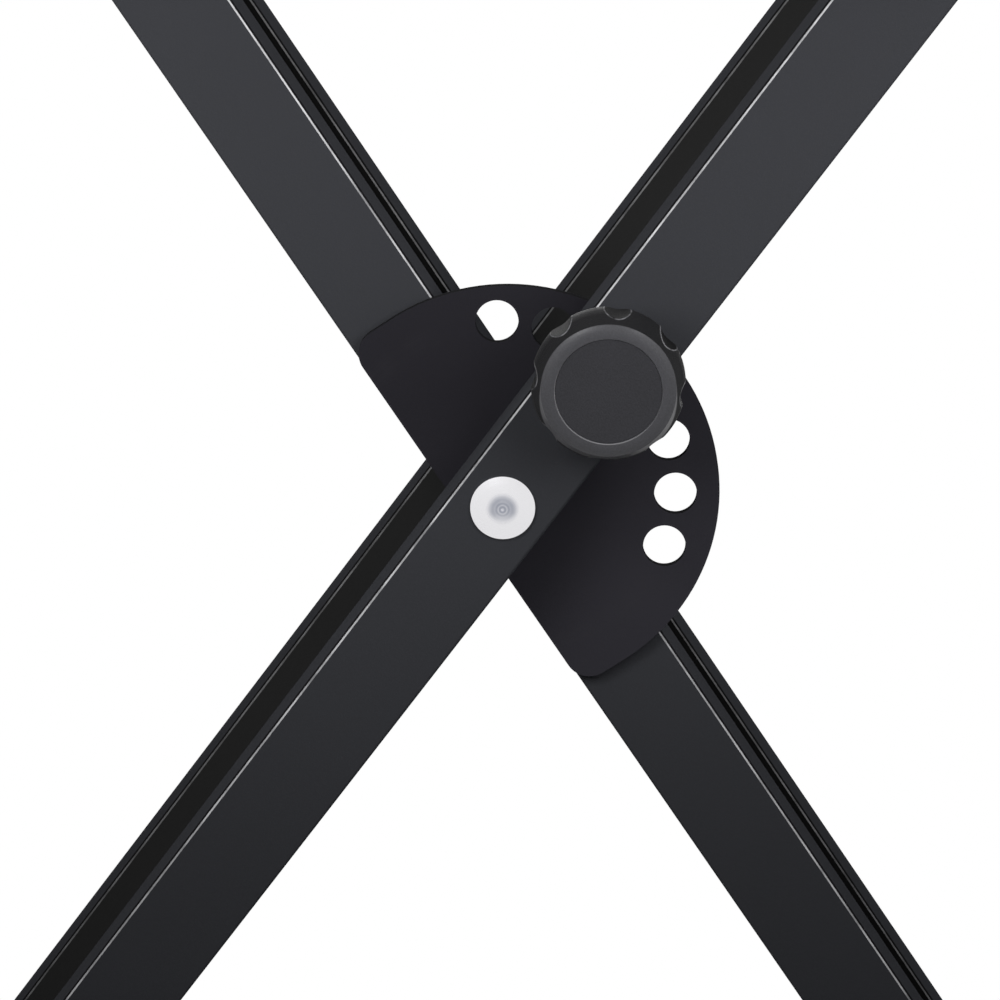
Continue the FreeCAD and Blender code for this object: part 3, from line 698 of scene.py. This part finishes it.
def saddle_seam(bar_radius, half_width, half_depth):
    """Seam of a tube on a bar along Y, seen from the bar's axis, with the tube above."""
    reach = math.asin(half_width / bar_radius)
    outline = []
    for side in (-1, 1):
        for step in range(ARC_STEPS + 1):
            angle = side * reach * (2 * step / ARC_STEPS - 1)
            place = (bar_radius * math.sin(angle), side * half_depth, bar_radius * math.cos(angle))
            outline.append(Vector(place))
    return spaced(outline, RIPPLE_STEP)


print("a saddle's arcs take", ARC_STEPS, "pieces")

# %% [markdown]
# The tubes of both legs meet a foot bar at one end and a thinner arm at the other. That makes two different
# beads, and each is copied to its four joints. At the arms the saddle is turned upside down.

# %% Saddle welds
tube_low, tube_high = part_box("outer_front_tube")
half_depth = (tube_high.y - tube_low.y) / 2 + SEAM_OFFSET
for kind, turn in (("foot_bar", 0.0), ("arm", math.pi)):
    bar_low, bar_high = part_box("outer_" + kind)
    bar_radius = (bar_high.z - bar_low.z) / 2 + SEAM_OFFSET
    bead = weld_bead(saddle_seam(bar_radius, TUBE_WIDTH / 2 + SEAM_OFFSET, half_depth), True)
    for leg, side in (("outer", 1), ("inner", -1)):
        for end in ("front", "rear"):
            low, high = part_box(f"{leg}_{kind}")
            depths = [corner.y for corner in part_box(f"{leg}_{end}_tube")]
            axis = Vector(((low.x + high.x) / 2, sum(depths) / 2, (low.z + high.z) / 2))
            place = Matrix.Translation(axis) @ Matrix.Rotation(side * lean + turn, 4, "Y")
            copied(bead, f"{leg}_{end}_{kind}_weld", place, f"{leg}_leg")
    print(kind, "weld:", len(bead.data.polygons), "faces, four copies")
    bpy.data.objects.remove(bead)

# %% [markdown]
# The plate is held by three short stitches behind it, in the corner between its back and the side of its
# tube, where they stay out of sight from the front.

# %% Stitch welds
STITCH_LENGTH = 0.018
STITCH_PITCH = 0.038

stitch_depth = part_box("locking_plate")[1].y + SEAM_OFFSET
stitch_steps = round(STITCH_LENGTH / RIPPLE_STEP)
stitch_seam = []
for step in range(stitch_steps + 1):
    rise = (step / stitch_steps - 0.5) * STITCH_LENGTH
    stitch_seam.append(Vector((TUBE_WIDTH / 2 + SEAM_OFFSET, stitch_depth, rise)))
stitch = weld_bead(stitch_seam, False)
on_inner_leg = Matrix.Translation(pivot) @ Matrix.Rotation(-lean, 4, "Y")
for index, name in ((-1, "lower"), (0, "middle"), (1, "upper")):
    place = on_inner_leg @ Matrix.Translation((0.0, 0.0, index * STITCH_PITCH))
    copied(stitch, f"plate_{name}_weld", place, "inner_leg")
print("three stitches of", len(stitch.data.polygons), "faces")
bpy.data.objects.remove(stitch)
bpy.data.objects.remove(ripple)

# %% [markdown]
# At the back, the pivot's nut has a nylon ring in its mouth, which grips the bolt so that the nut never
# works loose. It is a thin collar: a circle drawn up, in and back down, then closed and rounded.

# %% Nut insert
INSERT_RADIUS = 0.0068
INSERT_BORE = 0.0051
INSERT_HEIGHT = 0.0011
INSERT_PROUD = 0.0005
INSERT_ROUND, INSERT_ROUND_STEPS = 0.0002, 3
INSERT_CORNERS = 64
SMOOTH_ANGLE = math.radians(40.0)

nut_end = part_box("pivot_nut")[1].y
bpy.ops.object.select_all(action="DESELECT")
facing_back = (math.pi / 2, 0.0, 0.0)
bpy.ops.mesh.primitive_circle_add(vertices=INSERT_CORNERS, radius=INSERT_RADIUS, rotation=facing_back)
insert = bpy.context.active_object
insert.name = "nut_insert"
insert.location = (pivot.x, nut_end + INSERT_PROUD - INSERT_HEIGHT, pivot.z)
bpy.ops.object.transform_apply(location=True, rotation=True, scale=True)
bpy.ops.object.mode_set(mode="EDIT")
bpy.ops.mesh.select_all(action="SELECT")
bpy.ops.mesh.extrude_edges_move(TRANSFORM_OT_translate={"value": (0.0, INSERT_HEIGHT, 0.0)})
bpy.ops.mesh.extrude_edges_move(TRANSFORM_OT_translate={"value": (0.0, 0.0, 0.0)})
bpy.ops.transform.resize(value=(INSERT_BORE / INSERT_RADIUS, 1.0, INSERT_BORE / INSERT_RADIUS))
bpy.ops.mesh.extrude_edges_move(TRANSFORM_OT_translate={"value": (0.0, -INSERT_HEIGHT, 0.0)})
bpy.ops.mesh.select_all(action="DESELECT")
bpy.ops.mesh.select_non_manifold()
bpy.ops.mesh.bridge_edge_loops()
bpy.ops.mesh.select_all(action="SELECT")
bpy.ops.mesh.normals_make_consistent(inside=False)
bpy.ops.object.mode_set(mode="OBJECT")
apply_modifier(insert, "BEVEL", width=INSERT_ROUND, segments=INSERT_ROUND_STEPS, limit_method="ANGLE")
bpy.ops.object.shade_smooth_by_angle(angle=SMOOTH_ANGLE)
insert.data.materials.append(nylon)
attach(insert, "outer_leg")
print("nut insert:", len(insert.data.polygons), "faces")

# %% [markdown]
# Two pieces are wound: a section is swept round a line along Y by a Screw modifier, which climbs as it
# turns, and its two ends are closed. The number of turns is negative where the winding runs the other way.

# %% A wound piece
COIL_STEPS = 48


def wound(name, corners, section, radius, turns, climb, place):
    """A section of so many corners, swept round the Y axis with closed ends, and then moved to its place."""
    bpy.ops.object.select_all(action="DESELECT")
    bpy.ops.mesh.primitive_circle_add(vertices=corners, radius=section, rotation=(0.0, 0.0, -math.pi / 2))
    coil = bpy.context.active_object
    coil.name = name
    bpy.ops.object.transform_apply(location=True, rotation=True, scale=True)
    bpy.ops.object.mode_set(mode="EDIT")
    bpy.ops.transform.translate(value=(radius, 0.0, 0.0))
    bpy.ops.object.mode_set(mode="OBJECT")
    steps = round(COIL_STEPS * abs(turns))
    apply_modifier(
        coil, "SCREW", axis="Y", angle=2 * math.pi * turns, screw_offset=climb,
        steps=steps, render_steps=steps, use_merge_vertices=False,
    )
    bpy.ops.object.mode_set(mode="EDIT")
    bpy.ops.mesh.select_all(action="SELECT")
    bpy.ops.mesh.fill_holes(sides=corners)
    bpy.ops.mesh.select_all(action="SELECT")
    bpy.ops.mesh.normals_make_consistent(inside=False)
    bpy.ops.object.mode_set(mode="OBJECT")
    coil.data.transform(place)
    return coil


print("wound pieces take", COIL_STEPS, "steps a turn")

# %% [markdown]
# The bolt's thread shows where its tail comes out of the nut. Its section is a small three-cornered ridge,
# and it climbs by the pitch at every turn.

# %% Bolt thread
BOLT_RADIUS = 0.005
THREAD_PITCH = 0.0015
THREAD_HALF_WIDTH = 0.00055
THREAD_CORNERS = 3

tail_start = nut_end + INSERT_PROUD + THREAD_HALF_WIDTH
thread_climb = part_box("pivot_bolt")[1].y - THREAD_HALF_WIDTH - tail_start
thread_turns = thread_climb / THREAD_PITCH
thread_place = Matrix.Translation((pivot.x, tail_start, pivot.z))
thread = wound(
    "bolt_thread", THREAD_CORNERS, THREAD_HALF_WIDTH, BOLT_RADIUS, thread_turns, thread_climb, thread_place
)
thread.data.materials.append(zinc)
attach(thread, "outer_leg")
print(f"thread: {thread_turns:.1f} turns, {len(thread.data.polygons)} faces")

# %% [markdown]
# The pin's spring shortens when the knob is pulled, which a rigid node can't. So the same spring is wound
# here and stands for the node. It rides on the outer leg, and a gland holds its front end.

# %% Pin spring
SPRING_WIRE = 0.0005
SPRING_TURNS = 5
SPRING_CORNERS = 12

spring_low, spring_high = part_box("pin_spring")
spring_length = spring_high.y - spring_low.y
spring_front = Vector((PIN_AXIS.x, spring_low.y, PIN_AXIS.z))
coil_radius = (spring_high.x - spring_low.x) / 2 - SPRING_WIRE
coil_start = spring_front + Vector((0.0, SPRING_WIRE, 0.0))
coil_place = Matrix.Translation(coil_start) @ Matrix.Rotation(lean, 4, "Y")
coil_climb = spring_length - 2 * SPRING_WIRE
spring = wound(
    "spring_coil", SPRING_CORNERS, SPRING_WIRE, coil_radius, -SPRING_TURNS, coil_climb, coil_place
)
bpy.ops.object.shade_smooth_by_angle(angle=SMOOTH_ANGLE)
spring.data.materials.append(finishes["pin_spring"])
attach(spring, "outer_leg")
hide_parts("pin_spring")
travel = max(abs(limit) for limit in joints["pin_pull"]["range_m"])
1.0 - travel / spring_length
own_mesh(spring)
print(f"spring: {spring_length * 1000:.1f} mm long, {len(spring.data.polygons)} faces")

# %% [markdown]
# The stand is shown on a plain white ground. A pale floor takes its shadow round the feet, and fades to
# pure white further out, soonest at the back, which the close view looks at. The Light Path node tells
# which rays see that white: those from the camera and those that a glossy or clear surface sends on, so
# that the white itself never lights the stand.

# %% Floor
FLOOR_SIZE = 14.0
FLOOR_PALE, WHITE = grey(0.6), grey(1.0)
SHADOW_CENTRE = (0.0, -0.35, 0.0)
SHADOW_NEAR, SHADOW_FAR = 0.4, 0.83
FLOOR_GLOW = 0.8


def seen_rays(wire):
    """Masks of the camera's rays, and of those that a glossy or clear surface sends on."""
    camera = wire.node("ShaderNodeLightPath", output="Is Camera Ray")
    glossy = wire.node("ShaderNodeLightPath", output="Is Glossy Ray")
    clear = wire.node("ShaderNodeLightPath", output="Is Transmission Ray")
    return camera, glossy.most(clear)


def floor_finish():
    material, wire, place = start_finish("studio_floor")
    distance = wire.vector("DISTANCE", place, SHADOW_CENTRE, "Value")
    camera, mirrored = seen_rays(wire)
    far = (distance.rise(SHADOW_NEAR, SHADOW_FAR).most(FLOOR_GLOW) * camera).most(mirrored)
    pale = wire.node("ShaderNodeBsdfDiffuse", {}, {"Color": FLOOR_PALE})
    white = wire.node("ShaderNodeEmission", {}, {"Color": WHITE, "Strength": 1.0})
    shader = wire.node("ShaderNodeMixShader", {}, {0: far, 1: pale, 2: white})
    wire.node("ShaderNodeOutputMaterial", {}, {"Surface": shader})
    return material


bpy.ops.object.select_all(action="DESELECT")
bpy.ops.mesh.primitive_plane_add(size=FLOOR_SIZE)
floor = bpy.context.active_object
floor.name = "studio_floor"
floor.data.materials.append(floor_finish())
print("floor of", FLOOR_SIZE, "m, all white from", SHADOW_FAR, "m on")

# %% [markdown]
# Above the floor the world does the same. It is white to the camera and in reflections, and nearly dark to
# everything else, so that only the lamps light the stand.

# %% Background
AMBIENT = 0.02

world = bpy.data.worlds.new("studio")
world.use_nodes = True
world.node_tree.nodes.clear()
sky = Wire(world.node_tree)
dim = sky.node("ShaderNodeBackground", {}, {"Color": WHITE, "Strength": AMBIENT})
white = sky.node("ShaderNodeBackground", {}, {"Color": WHITE, "Strength": 1.0})
camera_rays, mirrored_rays = seen_rays(sky)
backdrop = sky.node("ShaderNodeMixShader", {}, {0: camera_rays.most(mirrored_rays), 1: dim, 2: white})
sky.node("ShaderNodeOutputWorld", {}, {"Surface": backdrop})
bpy.context.scene.world = world
print("ambient light", AMBIENT)

# %% [markdown]
# Two soft boxes hang close in front of the crossing, a little above it, one to each side. Because they are
# near, their light falls off down the legs and leaves them lighter at the top, and because there are two,
# each side of a tube throws only half a shadow. These two leave no reflections, so that the bright head
# mirrors only the white studio. Two small ones higher up put the highlights on the knob's rim. A box above
# the crossing lights the upper sides of the tubes, a large one overhead the floor, one behind the stand its
# back, and one at each end its sides.

# %% Lamps
def soft_box(name, offset, width, height, power, mirrored=True):
    """An area lamp that faces the pivot, placed from it."""
    place = pivot + Vector(offset)
    bpy.ops.object.light_add(type="AREA", location=place)
    lamp = bpy.context.active_object
    lamp.name = name
    lamp.data.shape = "RECTANGLE"
    lamp.data.size = width
    lamp.data.size_y = height
    lamp.data.energy = power
    lamp.rotation_euler = (-Vector(offset)).to_track_quat("-Z", "Y").to_euler()
    lamp.visible_camera = False
    lamp.visible_glossy = mirrored
    return lamp


soft_box("front_right", (0.18, -0.25, 0.14), width=0.2, height=0.14, power=0.63, mirrored=False)
soft_box("front_left", (-0.18, -0.25, 0.14), width=0.2, height=0.14, power=0.66, mirrored=False)
soft_box("glint_left", (-0.2, -0.36, 0.38), width=0.16, height=0.07, power=0.85)
soft_box("glint_right", (0.24, -0.32, 0.36), width=0.08, height=0.07, power=0.3)
soft_box("above", (0.0, 0.0, 0.62), width=0.5, height=0.4, power=1.4)
soft_box("overhead", (0.0, 0.0, 1.4), width=1.6, height=1.6, power=2.5)
soft_box("back", (0.0, 1.2, 0.2), width=1.0, height=0.8, power=15.0)
soft_box("left_end", (-1.2, 0.1, 0.3), width=0.5, height=0.5, power=2.5)
soft_box("right_end", (1.2, 0.1, 0.3), width=0.5, height=0.5, power=2.5)

# %% [markdown]
# The picture is a close view of the crossing, taken from a metre away and a little above, with a long lens.
# The camera is placed from the pivot, and turned by its pitch, yaw and roll.

# %% Camera
CAMERA_RIGHT, CAMERA_BACK, CAMERA_RISE = 0.01326, 0.97485, 0.28078
CAMERA_PITCH, CAMERA_YAW, CAMERA_ROLL = 15.943, 0.8315, -1.4872
LENS, SENSOR = 120.41, 36.0
CLIP_NEAR = 0.01

bpy.ops.object.camera_add()
camera = bpy.context.active_object
camera.name = "view"
camera.data.lens = LENS
camera.data.sensor_width = SENSOR
camera.data.clip_start = CLIP_NEAR
turn = Euler((0.0, 0.0, math.radians(CAMERA_YAW))).to_matrix()
turn @= Euler((math.radians(-CAMERA_PITCH), 0.0, 0.0)).to_matrix()
turn @= Euler((0.0, math.radians(CAMERA_ROLL), 0.0)).to_matrix()
turn @= Euler((math.radians(90.0), 0.0, 0.0)).to_matrix()
camera.rotation_euler = turn.to_euler()
camera.location = (pivot.x + CAMERA_RIGHT, front_y - CAMERA_BACK, pivot.z + CAMERA_RISE)
scene = bpy.context.scene
scene.camera = camera
scene.view_settings.view_transform = "Standard"
print("camera at", [round(value, 3) for value in camera.location])
